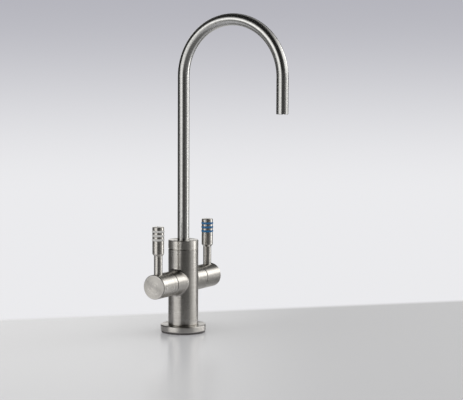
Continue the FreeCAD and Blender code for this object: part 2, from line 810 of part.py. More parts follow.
def spindle(side):
    """The turning stem: blade in the moving disc, foot with a stop lug, grooves and flat end."""
    groove_floor = s.spindle_radius - s.spindle_groove_depth
    groove_end = spindle_groove_start + s.spindle_groove_width
    clip_floor = s.spindle_radius - s.clip_groove_depth
    body = turned(f"{side}_spindle", [
        (ZERO, spindle_foot_start),
        (s.spindle_foot_radius, spindle_foot_start),
        (s.spindle_foot_radius, spindle_foot_end),
        (s.spindle_radius, spindle_foot_end),
        (s.spindle_radius, spindle_groove_start),
        (groove_floor, spindle_groove_start),
        (groove_floor, groove_end),
        (s.spindle_radius, groove_end),
        (s.spindle_radius, clip_start),
        (clip_floor, clip_start),
        (clip_floor, clip_end),
        (s.spindle_radius, clip_end),
        (s.spindle_radius, spindle_end_start),
        (s.spindle_end_radius, spindle_end_start),
        (s.spindle_end_radius, spindle_end),
        (ZERO, spindle_end),
    ])
    blade = make_sketch(body, "XY_Plane", lift=blade_start)
    reach = s.moving_disc_radius - s.slip_gap
    half = s.spindle_blade_thickness / 2
    draw_outline(blade, rectangle(-reach, reach, -half, half))
    extrude(body, blade, spindle_foot_start - blade_start)
    lug_side = -QUARTER_TURN / 2 * SIDES[side]
    lug = make_sketch(body, "YZ_Plane", turn=lug_side)
    overlap = s.running_gap
    lug_outline = rectangle(groove_floor, s.spindle_foot_radius, spindle_foot_end - overlap, stop_lug_end)
    spin(body, draw_outline(lug, lug_outline), angle=s.stop_lug_angle - s.stop_lug_play)
    flat = make_sketch(body, "XY_Plane", lift=spindle_end_start)
    cut = rectangle(-s.spindle_radius, s.spindle_radius, -s.spindle_radius, -s.spindle_end_flat)
    extrude(body, draw_outline(flat, cut), s.spindle_end_length, "Pocket", reverse=True)
    place_on_arm(body, side)
    packing = seal(f"{side}_spindle_seal", groove_floor, s.spindle_radius, spindle_groove_start, groove_end)
    place_on_arm(packing, side)


def spindle_clip(side):
    """The open ring that keeps the spindle from being pushed into the cartridge."""
    inner = s.spindle_radius - s.clip_groove_depth
    body = ring(f"{side}_spindle_clip", inner, s.clip_radius, clip_start, clip_end)
    opening = make_sketch(body, "XY_Plane", lift=clip_start)
    half = s.clip_opening / 2
    draw_outline(opening, rectangle(-half, half, ZERO, s.clip_radius))
    extrude(body, opening, s.clip_thickness, "Pocket", reverse=True)
    return place_on_arm(body, side)


def hub(side):
    """The turning end of the arm: closed outside, bored for the spindle, rod and grub screw."""
    bore = s.spindle_end_radius + s.thread_gap
    bore_end = spindle_end + s.hub_bore_end_gap
    body = turned(f"{side}_lever_hub", [
        (s.hub_cavity_radius, hub_start),
        (s.arm_radius - s.seam_chamfer, hub_start),
        (s.arm_radius, hub_start + s.seam_chamfer),
        (s.arm_radius, s.hub_end - s.hub_chamfer),
        (s.arm_radius - s.hub_chamfer, s.hub_end),
        (ZERO, s.hub_end),
        (ZERO, bore_end),
        (bore, bore_end),
        (bore, hub_cavity_end),
        (s.hub_cavity_radius, hub_cavity_end),
    ])
    rod_socket = make_sketch(body, lift=-s.rod_seat)
    draw_circle(rod_socket, s.rod_radius + s.thread_gap, up=s.rod_reach)
    extrude(body, rod_socket, s.arm_radius - s.rod_seat + s.end_gap, "Pocket")
    rod_thread = make_sketch(body, lift=-s.rod_seat)
    draw_circle(rod_thread, s.rod_thread_radius + s.thread_gap, up=s.rod_reach)
    extrude(body, rod_thread, s.rod_thread_length + s.rod_thread_end_gap, "Pocket", reverse=True)
    screw_hole = make_sketch(body)
    draw_circle(screw_hole, s.hub_screw_radius + s.thread_gap, up=s.hub_screw_reach)
    extrude(body, screw_hole, s.arm_radius + s.end_gap, "Pocket", reverse=True)
    return place_on_arm(body, side)


def hub_screw(side):
    """The grub screw in the hub's underside that bites on the spindle's flat."""
    body = turned(f"{side}_hub_screw", [
        (ZERO, ZERO),
        (s.hub_screw_radius / 2, ZERO),
        (s.hub_screw_radius, s.hub_screw_radius / 2),
        (s.hub_screw_radius, s.hub_screw_length),
        (ZERO, s.hub_screw_length),
    ])
    socket = make_sketch(body, "XY_Plane", lift=s.hub_screw_length)
    draw_outline(socket, hexagon(s.hub_screw_hex))
    extrude(body, socket, s.hub_screw_hex_depth, "Pocket")
    tip_height = s.arm_height - s.spindle_end_flat - s.running_gap
    downwards = FreeCAD.Rotation(FreeCAD.Vector(1, 0, 0), 180)
    return place(body, along=s.hub_screw_reach * SIDES[side], up=tip_height, rotation=downwards)


def lever_rod(side):
    """The upright rod, screwed into the hub below and into the grip above."""
    body = turned(f"{side}_lever_rod", [
        (ZERO, rod_foot),
        (s.rod_thread_radius, rod_foot),
        (s.rod_thread_radius, s.rod_seat),
        (s.rod_radius, s.rod_seat),
        (s.rod_radius, s.grip_bottom),
        (s.rod_thread_radius, s.grip_bottom),
        (s.rod_thread_radius, s.grip_bottom + s.grip_thread_length),
        (ZERO, s.grip_bottom + s.grip_thread_length),
    ])
    return place_on_lever(body, side)


def ring_middle(index):
    """Height of the middle of a grip ring, counted upwards from the lowest."""
    return grip_top - s.ring_top_setback - s.ring_pitch * (len(RINGS) - 1 - index)


def grip(side):
    """The turned grip: a cone up from the rod's width, and a groove for each ring."""
    bore = s.rod_thread_radius + s.thread_gap
    bore_end = s.grip_bottom + s.grip_thread_length + s.rod_thread_end_gap
    groove_floor = s.grip_radius + s.ring_proud - s.ring_height
    half_groove = s.ring_height / 2 + s.thread_gap
    corners = [
        (bore, s.grip_bottom),
        (s.rod_radius, s.grip_bottom),
        (s.grip_radius, s.grip_bottom + s.grip_cone_height),
    ]
    for index in range(len(RINGS)):
        bottom = ring_middle(index) - half_groove
        top = ring_middle(index) + half_groove
        corners += [(s.grip_radius, bottom), (groove_floor, bottom)]
        corners += [(groove_floor, top), (s.grip_radius, top)]
    corners += [
        (s.grip_radius, grip_top - s.grip_top_chamfer),
        (s.grip_radius - s.grip_top_chamfer, grip_top),
        (ZERO, grip_top),
        (ZERO, bore_end),
        (bore, bore_end),
    ]
    return place_on_lever(turned(f"{side}_grip", corners), side)


def grip_rings(side):
    """Three rubber rings that stand a little proud of the grip."""
    outer = s.grip_radius + s.ring_proud
    for index, name in enumerate(RINGS):
        bottom = ring_middle(index) - s.ring_height / 2
        top = ring_middle(index) + s.ring_height / 2
        body = seal(f"{side}_grip_ring_{name}", outer - s.ring_height, outer, bottom, top)
        place_on_lever(body, side)


def check_document():
    """Stop if anything in the document failed, or if a cut took nothing away."""
    for item in doc.Objects:
        if "Invalid" in item.State or "Error" in item.State:
            raise SystemExit(f"{item.Label} failed: {item.State}")
        if item.TypeId in ("PartDesign::Pocket", "PartDesign::Groove"):
            if item.Shape.Volume > item.BaseFeature.Shape.Volume - LEAST_CUT:
                raise SystemExit(f"{item.Label} cuts nothing")


def export_pieces():
    """Write each piece to a STEP file named after it."""
    os.makedirs("parts", exist_ok=True)
    pieces = [item for item in doc.Objects if item.TypeId == "PartDesign::Body"]
    for piece in pieces:
        if piece.Shape.isNull() or not piece.Shape.isValid() or piece.Shape.Volume <= 0:
            raise SystemExit(f"{piece.Label} has no valid solid")
    for piece in pieces:
        piece.Shape.exportStep(f"parts/{piece.Label}.step")
    print(len(pieces), "pieces")


column()
foot_flange()
foot_gasket()
collar()
collar_bush()
wear_washers()
shank()
under_worktop()
spout_tube()
spout_foot()
jet_insert()
for name in SIDES:
    inlet_tail(name)
    cartridge(name)
    seat_seal(name)
    discs(name)
    spindle(name)
    spindle_clip(name)
    hub(name)
    hub_screw(name)
    lever_rod(name)
    grip(name)
    grip_rings(name)
doc.recompute()
check_document()
export_pieces()
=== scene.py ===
import math

import bmesh
import bpy
from mathutils import Matrix, Vector


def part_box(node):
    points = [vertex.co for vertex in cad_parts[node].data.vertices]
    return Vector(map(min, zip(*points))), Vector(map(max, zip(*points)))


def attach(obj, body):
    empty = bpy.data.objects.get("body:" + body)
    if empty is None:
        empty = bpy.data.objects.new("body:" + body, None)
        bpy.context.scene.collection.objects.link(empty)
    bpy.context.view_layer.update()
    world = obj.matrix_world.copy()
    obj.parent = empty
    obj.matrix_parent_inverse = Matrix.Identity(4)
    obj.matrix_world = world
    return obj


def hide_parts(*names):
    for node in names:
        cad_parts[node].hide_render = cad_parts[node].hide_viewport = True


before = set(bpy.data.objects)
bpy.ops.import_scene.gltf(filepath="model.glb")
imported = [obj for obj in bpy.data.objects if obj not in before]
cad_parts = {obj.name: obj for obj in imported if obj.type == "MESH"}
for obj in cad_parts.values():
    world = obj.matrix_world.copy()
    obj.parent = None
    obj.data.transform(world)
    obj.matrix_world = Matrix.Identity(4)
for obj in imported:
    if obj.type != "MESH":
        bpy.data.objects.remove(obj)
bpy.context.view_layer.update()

MM = 0.001
SIDES = {"ambient": -1, "chilled": 1}
RINGS = ("lower", "middle", "upper")

# Places and axes of the solids, in metres
ARM_HEIGHT = 54.6 * MM
ROD_REACH = 48.9 * MM
COLUMN_RADIUS = 16.0 * MM
TAIL_REACH = 5.0 * MM
BEND_RADIUS = 59.1 * MM
BEND_HEIGHT = 271.5 * MM
COLUMN_FOOT = (0, 0, 0)
ARM_MIDDLE = (0, 0, ARM_HEIGHT)
UPRIGHT = (0, 0, 1)
ALONG_ARM = (0, 1, 0)


# Small helpers for node trees

class Tree:
    """The nodes of a material or of the world, with short calls to add and join them."""

    def __init__(self, owner):
        owner.use_nodes = True
        self.nodes = owner.node_tree.nodes
        self.links = owner.node_tree.links

    def put(self, socket, value):
        """Give a socket a number, a colour or another node's output."""
        if isinstance(value, bpy.types.NodeSocket):
            self.links.new(value, socket)
        else:
            socket.default_value = value

    def add(self, kind, inputs=(), output=0, **settings):
        node = self.nodes.new(kind)
        for name, value in settings.items():
            setattr(node, name, value)
        for key, value in dict(inputs).items():
            self.put(node.inputs[key], value)
        return node.outputs[output]

    def math(self, operation, *values):
        return self.add("ShaderNodeMath", dict(enumerate(values)), operation=operation)

    def vector(self, operation, first, second=(0, 0, 0), output=0):
        return self.add("ShaderNodeVectorMath", {0: first, 1: second}, output, operation=operation)

    def scaled(self, vector, factor):
        return self.add("ShaderNodeVectorMath", {0: vector, "Scale": factor}, operation="SCALE")

    def ramp(self, value, low, high, to_low=0.0, to_high=1.0):
        """Map a value smoothly from one range to another, held at both ends."""
        inputs = {0: value, 1: low, 2: high, 3: to_low, 4: to_high}
        return self.add("ShaderNodeMapRange", inputs, interpolation_type="SMOOTHSTEP")

    def noise(self, vector, scale, detail=2.0, roughness=0.5):
        inputs = {"Vector": vector, "Scale": scale, "Detail": detail, "Roughness": roughness}
        return self.add("ShaderNodeTexNoise", inputs, "Fac")

    def mix_colours(self, factor, first, second):
        """Mix two colours, which have other sockets on the mix node than vectors have."""
        return self.add("ShaderNodeMix", {0: factor, 6: first, 7: second}, 2, data_type="RGBA")

    def mix_vectors(self, factor, first, second):
        """Mix two vectors, by the mix node's sockets for vectors."""
        return self.add("ShaderNodeMix", {0: factor, 4: first, 5: second}, 1, data_type="VECTOR")

    def object_place(self):
        return self.add("ShaderNodeTexCoord", output="Object")


def new_material(name):
    material = bpy.data.materials.new(name)
    tree = Tree(material)
    return material, tree, tree.nodes["Principled BSDF"].inputs


def give(material, *nodes):
    """Put a material on CAD nodes."""
    for name in nodes:
        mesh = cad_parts[name].data
        mesh.materials.clear()
        mesh.materials.append(material)


def pair(*names):
    """The nodes of these names on both sides."""
    return [f"{side}_{name}" for side in SIDES for name in names]


def opaque(colour):
    return (*colour, 1.0)


# Lathe marks: lines around an axis on the sides of a piece, and circles on its ends

ROUND_PER_METRE = 160.0
MARKS_PER_METRE = 3600.0
END_SHARE = 0.7
TANGENT_TILT = 0.6


def lathe_marks(tree, axis, centre):
    """The grain's coordinates, and the direction across the grain, for a piece turned about an axis."""
    place = tree.vector("SUBTRACT", tree.object_place(), centre)
    along = tree.vector("DOT_PRODUCT", place, axis, "Value")
    flat = tree.vector("SUBTRACT", place, tree.scaled(axis, along))
    radius = tree.vector("LENGTH", flat, output="Value")
    outwards = tree.vector("NORMALIZE", flat)
    line = tree.math("MULTIPLY_ADD", radius, END_SHARE, along)
    lines = tree.scaled(axis, tree.math("MULTIPLY", line, MARKS_PER_METRE))
    grain = tree.vector("ADD", tree.scaled(flat, ROUND_PER_METRE), lines)
    across = tree.vector("ADD", axis, tree.scaled(outwards, TANGENT_TILT))
    return grain, across


def tube_marks(tree):
    """The same for the spout's tube, whose axis is a straight, a half circle and a straight."""
    x, y, z = tree.add("ShaderNodeSeparateXYZ", {0: tree.object_place()}).node.outputs
    sideways = tree.math("SUBTRACT", x, BEND_RADIUS)
    height = tree.math("SUBTRACT", z, BEND_HEIGHT)
    above = tree.math("MAXIMUM", height, 0.0)
    below = tree.math("MINIMUM", height, 0.0)
    from_bend = tree.add("ShaderNodeCombineXYZ", {"X": sideways, "Z": above})
    reach = tree.vector("LENGTH", from_bend, output="Value")
    angle = tree.math("ARCTAN2", above, sideways)
    length = tree.math("ADD", tree.math("MULTIPLY", angle, BEND_RADIUS), below)
    inner = tree.math("SUBTRACT", reach, BEND_RADIUS)
    section = tree.add("ShaderNodeCombineXYZ", {"X": inner, "Y": y})
    lines = tree.add("ShaderNodeCombineXYZ", {"Z": tree.math("MULTIPLY", length, MARKS_PER_METRE)})
    grain = tree.vector("ADD", tree.scaled(section, ROUND_PER_METRE), lines)
    back = tree.math("MULTIPLY", above, -1.0)
    across = tree.add("ShaderNodeCombineXYZ", {"X": back, "Z": sideways})
    return grain, across


def world_direction(tree, vector):
    """Turn a direction of the piece with the piece, for the shader's tangent."""
    return tree.add("ShaderNodeVectorTransform", {0: tree.vector("NORMALIZE", vector)},
                    vector_type="VECTOR", convert_from="OBJECT", convert_to="WORLD")


# Brushed metal: dark and light colour of its streaks

STEEL = ((0.54, 0.52, 0.485), (0.67, 0.65, 0.615))
BRASS = ((0.62, 0.45, 0.20), (0.80, 0.62, 0.32))
TUBE_STEEL = ((0.505, 0.505, 0.49), (0.63, 0.63, 0.62))


def lit_or_shaded(colours, factor):
    """The same dark and light colour, made a little brighter or darker as painted light and shade."""
    return [tuple(part * factor for part in colour) for colour in colours]


# Lit and shaded copies of one steel: each piece's steel is painted brighter or darker, as painted light and
# shade on that piece, not a different metal
LIT_COLLAR_STEEL = lit_or_shaded(STEEL, 1.14)
SHADED_FLANGE_STEEL = lit_or_shaded(STEEL, 0.98)
SHADED_COLUMN_STEEL = lit_or_shaded(STEEL, 0.89)
SHADED_HUB_STEEL = lit_or_shaded(STEEL, 0.91)
LIT_LEVER_STEEL = lit_or_shaded(STEEL, 1.075)

# How each metal surface is finished
SATIN = dict(roughness=0.29, anisotropy=0.78, bump=0.1)
HUB_FINISH = dict(SATIN, bump=0.04)
TAIL_FINISH = dict(SATIN, bump=0.01)
DULL = dict(SATIN, roughness=0.4)
TUBE_FINISH = dict(roughness=0.23, anisotropy=0.7, bump=0.005)
ROD_FINISH = dict(TUBE_FINISH, bump=0.01)

# Grain, streaks and handling marks of a metal
NOISE_SPAN = (0.3, 0.7)
GRAIN_SHARE = 0.6
GRAIN_ROUGHNESS = 0.03
SCRATCH_DEPTH = 0.04 * MM
STREAK_SCALE = 0.13
HANDLING_PER_METRE = 45.0
HANDLING_SPAN = (0.45, 0.75)
HANDLING_ROUGHNESS = 0.04


def finish_metal(tree, shader, marks, colours, roughness, anisotropy, bump):
    """Fine grain, broader streaks and faint handling marks for a metal."""
    grain, across = marks
    fine = tree.noise(grain, 1.0, detail=3.0, roughness=0.6)
    streaks = tree.noise(tree.scaled(grain, STREAK_SCALE), 1.0, detail=1.0)
    handling = tree.noise(tree.object_place(), HANDLING_PER_METRE, detail=3.0)
    fine_part = tree.math("MULTIPLY", fine, GRAIN_SHARE)
    shade = tree.math("ADD", fine_part, tree.math("MULTIPLY", streaks, 1 - GRAIN_SHARE))
    dark, light = [opaque(colour) for colour in colours]
    tree.put(shader["Base Color"], tree.mix_colours(tree.ramp(shade, *NOISE_SPAN), dark, light))
    shader["Metallic"].default_value = 1.0
    rough = tree.ramp(shade, *NOISE_SPAN, roughness + GRAIN_ROUGHNESS, roughness - GRAIN_ROUGHNESS)
    smudges = tree.ramp(handling, *HANDLING_SPAN, 0.0, HANDLING_ROUGHNESS)
    tree.put(shader["Roughness"], tree.math("ADD", rough, smudges))
    shader["Anisotropic"].default_value = anisotropy
    tree.put(shader["Tangent"], world_direction(tree, across))
    scratches = {"Height": fine, "Strength": bump, "Distance": SCRATCH_DEPTH}
    tree.put(shader["Normal"], tree.add("ShaderNodeBump", scratches))


def turned_metal(name, axis, centre, colours=STEEL, finish=SATIN):
    """A metal for pieces turned about one axis."""
    material, tree, shader = new_material(name)
    finish_metal(tree, shader, lathe_marks(tree, axis, centre), colours, **finish)
    return material


ARM_START = (COLUMN_RADIUS + 0.2 * MM, COLUMN_RADIUS + 0.7 * MM)


def column_metal():
    """Steel whose grain runs round the column, and round the arms where they stand out of it."""
    material, tree, shader = new_material("column_steel")
    column_grain, column_across = lathe_marks(tree, UPRIGHT, COLUMN_FOOT)
    arm_grain, arm_across = lathe_marks(tree, ALONG_ARM, ARM_MIDDLE)
    flat = tree.vector("MULTIPLY", tree.object_place(), (1, 1, 0))
    reach = tree.vector("LENGTH", flat, output="Value")
    on_arm = tree.ramp(reach, *ARM_START)
    grain = tree.mix_vectors(on_arm, column_grain, arm_grain)
    across = tree.mix_vectors(on_arm, column_across, arm_across)
    # The column's steel is the darker copy: painted shade
    finish_metal(tree, shader, (grain, across), SHADED_COLUMN_STEEL, **SATIN)
    return material


def tube_metal():
    """Smoother steel whose grain follows the tube round its bend."""
    material, tree, shader = new_material("tube_steel")
    finish_metal(tree, shader, tube_marks(tree), TUBE_STEEL, **TUBE_FINISH)
    return material


# Moulded surfaces: dark and light colour, roughness, size of the grain and strength of the bump

MOULDED = {
    "black_rubber": ((0.012, 0.012, 0.012), (0.03, 0.03, 0.03), 0.6, 0.8 * MM, 0.3),
    "gasket_rubber": ((0.078, 0.072, 0.072), (0.115, 0.108, 0.108), 0.6, 0.8 * MM, 0.3),
    "seal_rubber": ((0.02, 0.02, 0.02), (0.035, 0.035, 0.035), 0.45, 0.8 * MM, 0.1),
    "grey_rubber": ((0.56, 0.555, 0.54), (0.64, 0.635, 0.615), 0.5, 0.5 * MM, 0.2),
    "blue_rubber": ((0.022, 0.135, 0.30), (0.036, 0.185, 0.40), 0.38, 0.5 * MM, 0.2),
    "white_plastic": ((0.74, 0.74, 0.72), (0.82, 0.82, 0.80), 0.4, 1.5 * MM, 0.1),
    "ceramic": ((0.80, 0.79, 0.75), (0.86, 0.85, 0.82), 0.2, 1.0 * MM, 0.02),
}
MOULDED_ROUGHNESS = 0.05
MOULDED_DEPTH = 0.05 * MM


def moulded(name):
    """A matt moulded surface with a fine texture and slight changes of tone."""
    dark, light, roughness, grain_size, bump = MOULDED[name]
    material, tree, shader = new_material(name)
    texture = tree.noise(tree.object_place(), 1.0 / grain_size, detail=4.0, roughness=0.6)
    tone = tree.mix_colours(tree.ramp(texture, *NOISE_SPAN), opaque(dark), opaque(light))
    tree.put(shader["Base Color"], tone)
    rough = tree.ramp(texture, *NOISE_SPAN, roughness - MOULDED_ROUGHNESS, roughness + MOULDED_ROUGHNESS)
    tree.put(shader["Roughness"], rough)
    pores = {"Height": texture, "Strength": bump, "Distance": MOULDED_DEPTH}
    tree.put(shader["Normal"], tree.add("ShaderNodeBump", pores))
    return material


# Pieces modelled here are closed meshes, made from columns of points round an axis

CREASE = math.radians(25)
MERGE_DISTANCE = 0.001 * MM


def ring_of_columns(name, columns):
    """A closed mesh from columns of points round an axis, where the last column lies on the first."""
    build = bmesh.new()
    rows = [[build.verts.new(point) for point in column] for column in columns]
    for column, beside in zip(rows, rows[1:]):
        for index in range(len(column)):
            after = (index + 1) % len(column)
            build.faces.new((column[index], beside[index], beside[after], column[after]))
    bmesh.ops.remove_doubles(build, verts=build.verts, dist=MERGE_DISTANCE)
    bmesh.ops.recalc_face_normals(build, faces=build.faces)
    mesh = bpy.data.meshes.new(name)
    build.to_mesh(mesh)
    build.free()
    mesh.shade_smooth()
    mesh.set_sharp_from_angle(angle=CREASE)
    return mesh


def add_piece(name, columns):
    """A modelled piece that is fixed to the tap's body."""
    piece = bpy.data.objects.new(name, ring_of_columns(name, columns))
    bpy.context.scene.collection.objects.link(piece)
    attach(piece, "tap_body")
    return piece


def around(turn, outline):
    """The points of an outline, given as radius and height, at an angle about the upright axis."""
    return [(radius * math.cos(turn), radius * math.sin(turn), height) for radius, height in outline]


# The screw thread and the nut on it, which stand for their plain nodes

THREAD_PITCH = 1.5 * MM
THREAD_RADIUS = 12.0 * MM
THREAD_DEPTH = 0.92 * MM
THREAD_CHAMFER = 1.0 * MM
SHANK_BORE = 9.4 * MM
THREAD_SIDES = 72
SPARE_RIDGES = 2

# One ridge of the thread: how far along its pitch and how deep, as shares
THREAD_PROFILE = ((0.0, 0.0), (0.12, 0.0), (0.5, 1.0), (0.62, 1.0))


def screw_thread():
    """The shank with its helical thread: each column of points starts a little higher than the last."""
    low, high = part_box("threaded_shank")
    bottom, top = low[2], high[2]
    ridges = math.ceil((top - bottom) / THREAD_PITCH) + SPARE_RIDGES
    columns = []
    for side in range(THREAD_SIDES + 1):
        outline = [(SHANK_BORE, bottom)]
        start = bottom + THREAD_PITCH * (side / THREAD_SIDES - 1)
        for ridge in range(ridges):
            for share, depth in THREAD_PROFILE:
                height = start + THREAD_PITCH * (ridge + share)
                height = min(max(height, bottom), top)
                from_end = min(height - bottom, top - height)
                chamfer = THREAD_RADIUS - THREAD_CHAMFER + from_end
                outline.append((min(THREAD_RADIUS - THREAD_DEPTH * depth, chamfer), height))
        outline.append((SHANK_BORE, top))
        columns.append(around(2 * math.pi * side / THREAD_SIDES, outline))
    piece = add_piece("screw_thread", columns)
    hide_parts("threaded_shank")
    return piece


NUT_FLAT = 16.0 * MM
NUT_FACE = 15.3 * MM
NUT_BORE = 12.05 * MM
NUT_MOUTH = 0.7 * MM
NUT_CORNER = math.radians(60)
NUT_SLOPE = math.tan(math.radians(30))
NUT_SIDES = 96


def hexagon_nut():
    """The back nut, its corners cut back by a cone at both ends and its bore eased."""
    low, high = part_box("back_nut")
    bottom, top = low[2], high[2]
    columns = []
    for side in range(NUT_SIDES + 1):
        turn = 2 * math.pi * side / NUT_SIDES
        from_flat = turn % NUT_CORNER - NUT_CORNER / 2
        reach = NUT_FLAT / math.cos(from_flat)
        cut = (reach - NUT_FACE) * NUT_SLOPE
        columns.append(around(turn, (
            (NUT_BORE + NUT_MOUTH, bottom),
            (NUT_FACE, bottom),
            (reach, bottom + cut),
            (reach, top - cut),
            (NUT_FACE, top),
            (NUT_BORE + NUT_MOUTH, top),
            (NUT_BORE, top - NUT_MOUTH),
            (NUT_BORE, bottom + NUT_MOUTH),
        )))
    piece = add_piece("hexagon_nut", columns)
    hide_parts("back_nut")
    return piece


# Rings that close the seams between the arms and the turning hubs, so no light shows through them; they are
# black as painted shade in the seams

SEAM_RING_BORE = 6.6 * MM
SEAM_RING_RADIUS = 12.2 * MM
SEAM_RING_EDGE = 0.12 * MM
SEAM_RING_PLAY = 0.1 * MM
SEAM_RING_SIDES = 120


def seam_ring(side):
    """A thin ring round the cartridge's neck, against the arm's end and just clear of the hub, black as
    painted shade in the seam.
    """
    sign = SIDES[side]
    arm_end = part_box("column")[1][1]
    hub_low, hub_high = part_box(f"{side}_lever_hub")
    hub_face = min(abs(hub_low[1]), abs(hub_high[1]))
    outer_face = hub_face - SEAM_RING_PLAY
    outline = (
        (SEAM_RING_BORE, arm_end),
        (SEAM_RING_RADIUS - SEAM_RING_EDGE, arm_end),
        (SEAM_RING_RADIUS, arm_end + SEAM_RING_EDGE),
        (SEAM_RING_RADIUS, outer_face - SEAM_RING_EDGE),
        (SEAM_RING_RADIUS - SEAM_RING_EDGE, outer_face),
        (SEAM_RING_BORE, outer_face),
    )
    columns = []
    for step in range(SEAM_RING_SIDES + 1):
        points = around(2 * math.pi * step / SEAM_RING_SIDES, outline)
        columns.append([(across, sign * along, ARM_HEIGHT + up) for across, up, along in points])
    return add_piece(f"{side}_seam_ring", columns)


# Every CAD node gets its material

def dress_steel():
    """The brushed steel that shows, and the duller steel inside and below."""
    # The column, flange, collar, hub and lever steels are lit and shaded copies of one steel: painted light
    # and shade
    give(column_metal(), "column")
    give(turned_metal("flange_steel", UPRIGHT, COLUMN_FOOT, SHADED_FLANGE_STEEL), "foot_flange")
    give(turned_metal("collar_steel", UPRIGHT, COLUMN_FOOT, LIT_COLLAR_STEEL), "collar")
    give(tube_metal(), "spout_tube")
    give(turned_metal("hub_steel", ALONG_ARM, ARM_MIDDLE, SHADED_HUB_STEEL, HUB_FINISH), *pair("lever_hub"))
    for side, sign in SIDES.items():
        rod_place = (0, sign * ROD_REACH, 0)
        rod = turned_metal(f"{side}_rod_steel", UPRIGHT, rod_place, LIT_LEVER_STEEL, ROD_FINISH)
        give(rod, f"{side}_lever_rod", f"{side}_grip")
        tail_place = (0, sign * TAIL_REACH, 0)
        tail = turned_metal(f"{side}_tail_steel", UPRIGHT, tail_place, finish=TAIL_FINISH)
        give(tail, f"{side}_inlet_tail")
    give(turned_metal("washer_steel", UPRIGHT, COLUMN_FOOT, finish=DULL), "clamp_washer")
    give(turned_metal("clip_steel", ALONG_ARM, ARM_MIDDLE, finish=DULL), *pair("spindle_clip", "hub_screw"))


def dress_brass():
    """The brass inside, and the threaded shank with its nut."""
    upright_brass = turned_metal("upright_brass", UPRIGHT, COLUMN_FOOT, BRASS)
    give(upright_brass, "spout_foot")
    give(turned_metal("arm_brass", ALONG_ARM, ARM_MIDDLE, BRASS), *pair("cartridge", "spindle"))
    for piece in (screw_thread(), hexagon_nut()):
        piece.data.materials.append(upright_brass)


def dress_moulded():
    """Rubber, plastic and ceramic."""
    black_rubber = moulded("black_rubber")
    give(black_rubber, "rubber_washer")
    for side in SIDES:
        # The seam rings block light through the seams, and their black is painted shade in the seams
        seam_ring(side).data.materials.append(black_rubber)
    give(moulded("gasket_rubber"), "foot_gasket")
    give(moulded("seal_rubber"), "lower_spout_seal", "upper_spout_seal",
         *pair("tail_seal", "cartridge_seal", "seat_seal", "spindle_seal"))
    give(moulded("grey_rubber"), *[f"ambient_grip_ring_{ring}" for ring in RINGS])
    give(moulded("blue_rubber"), *[f"chilled_grip_ring_{ring}" for ring in RINGS])
    give(moulded("white_plastic"), "collar_bush", "lower_wear_washer", "upper_wear_washer", "jet_insert")
    give(moulded("ceramic"), *pair("fixed_disc", "moving_disc"))


# Camera, found by fitting its place to the outlines in the photograph

FOCAL_PIXELS = 1512.1
IMAGE_WIDTH = 463
SENSOR_WIDTH = 36.0
CAMERA_CLIP = (0.01, 50.0)
CAMERA_AZIMUTH = math.radians(32.127)
CAMERA_DISTANCE = 1.597
CAMERA_HEIGHT = 0.28952
CAMERA_PAN = math.radians(1.828)
CAMERA_PITCH = math.radians(5.312)
CAMERA_ROLL = math.radians(-0.279)


def add_camera():
    data = bpy.data.cameras.new("camera")
    data.sensor_width = SENSOR_WIDTH
    data.lens = FOCAL_PIXELS / IMAGE_WIDTH * SENSOR_WIDTH
    data.clip_start, data.clip_end = CAMERA_CLIP
    camera = bpy.data.objects.new("camera", data)
    bpy.context.scene.collection.objects.link(camera)
    bpy.context.scene.camera = camera
    up = Vector((0, 0, 1))
    back = Vector((math.sin(CAMERA_AZIMUTH), -math.cos(CAMERA_AZIMUTH), 0))
    right = up.cross(back)
    forward = -back * math.cos(CAMERA_PAN) + right * math.sin(CAMERA_PAN)
    right = right * math.cos(CAMERA_PAN) + back * math.sin(CAMERA_PAN)
    level_forward = forward.copy()
    forward = level_forward * math.cos(CAMERA_PITCH) - up * math.sin(CAMERA_PITCH)
    up = up * math.cos(CAMERA_PITCH) + level_forward * math.sin(CAMERA_PITCH)
    rolled_right = right * math.cos(CAMERA_ROLL) - up * math.sin(CAMERA_ROLL)
    rolled_up = right * math.sin(CAMERA_ROLL) + up * math.cos(CAMERA_ROLL)
    turn = Matrix((rolled_right, rolled_up, -forward)).transposed()
    place = back * CAMERA_DISTANCE + Vector((0, 0, CAMERA_HEIGHT))
    camera.matrix_world = Matrix.Translation(place) @ turn.to_4x4()


# Helpers for the surroundings, whose bearings and elevations are in degrees

def sine(degrees):
    """The height at which a direction of this elevation lies on a sphere of radius one."""
    return math.sin(math.radians(degrees))


def bearing_window(tree, place, bearing, flat, soft):
    """One within so many degrees of a compass bearing, falling to nothing at the soft edge."""
    turn = math.radians(bearing)
    ahead = tree.vector("DOT_PRODUCT", place, (math.cos(turn), math.sin(turn), 0), "Value")
    beside = tree.vector("DOT_PRODUCT", place, (-math.sin(turn), math.cos(turn), 0), "Value")
    angle = tree.math("ABSOLUTE", tree.math("ARCTAN2", beside, ahead))
    return tree.ramp(angle, math.radians(flat), math.radians(soft), 1.0, 0.0)


def seen_in_metal(tree):
    """One for reflections and for rays through glass, else nothing."""
    paths = tree.add("ShaderNodeLightPath").node.outputs
    return tree.math("MAXIMUM", paths["Is Glossy Ray"], paths["Is Transmission Ray"])


# Floor, with a straight back edge like a worktop's, behind which the camera sees the wall

FLOOR_RADIUS = 1.2
FLOOR_SIDES = 96
FLOOR_COLOUR = (0.69, 0.69, 0.70, 1)
FLOOR_IN_METAL = (0.63, 0.63, 0.645, 1)
FLOOR_ROUGHNESS = 0.22
FLOOR_SPECULAR = 0.12
SPECKLES_PER_METRE = 900.0
SPECKLE_DEPTH = 0.03
SPECKLE_COLOUR = (0, 0, 0, 1)
FLOOR_FADE = (0.6, 1.15)
FLOOR_EDGE_BEARING = math.radians(136)
FLOOR_EDGE_FADE = (0.106, 0.128)
BACKDROP_LOW = (0.83, 0.83, 0.85, 1)

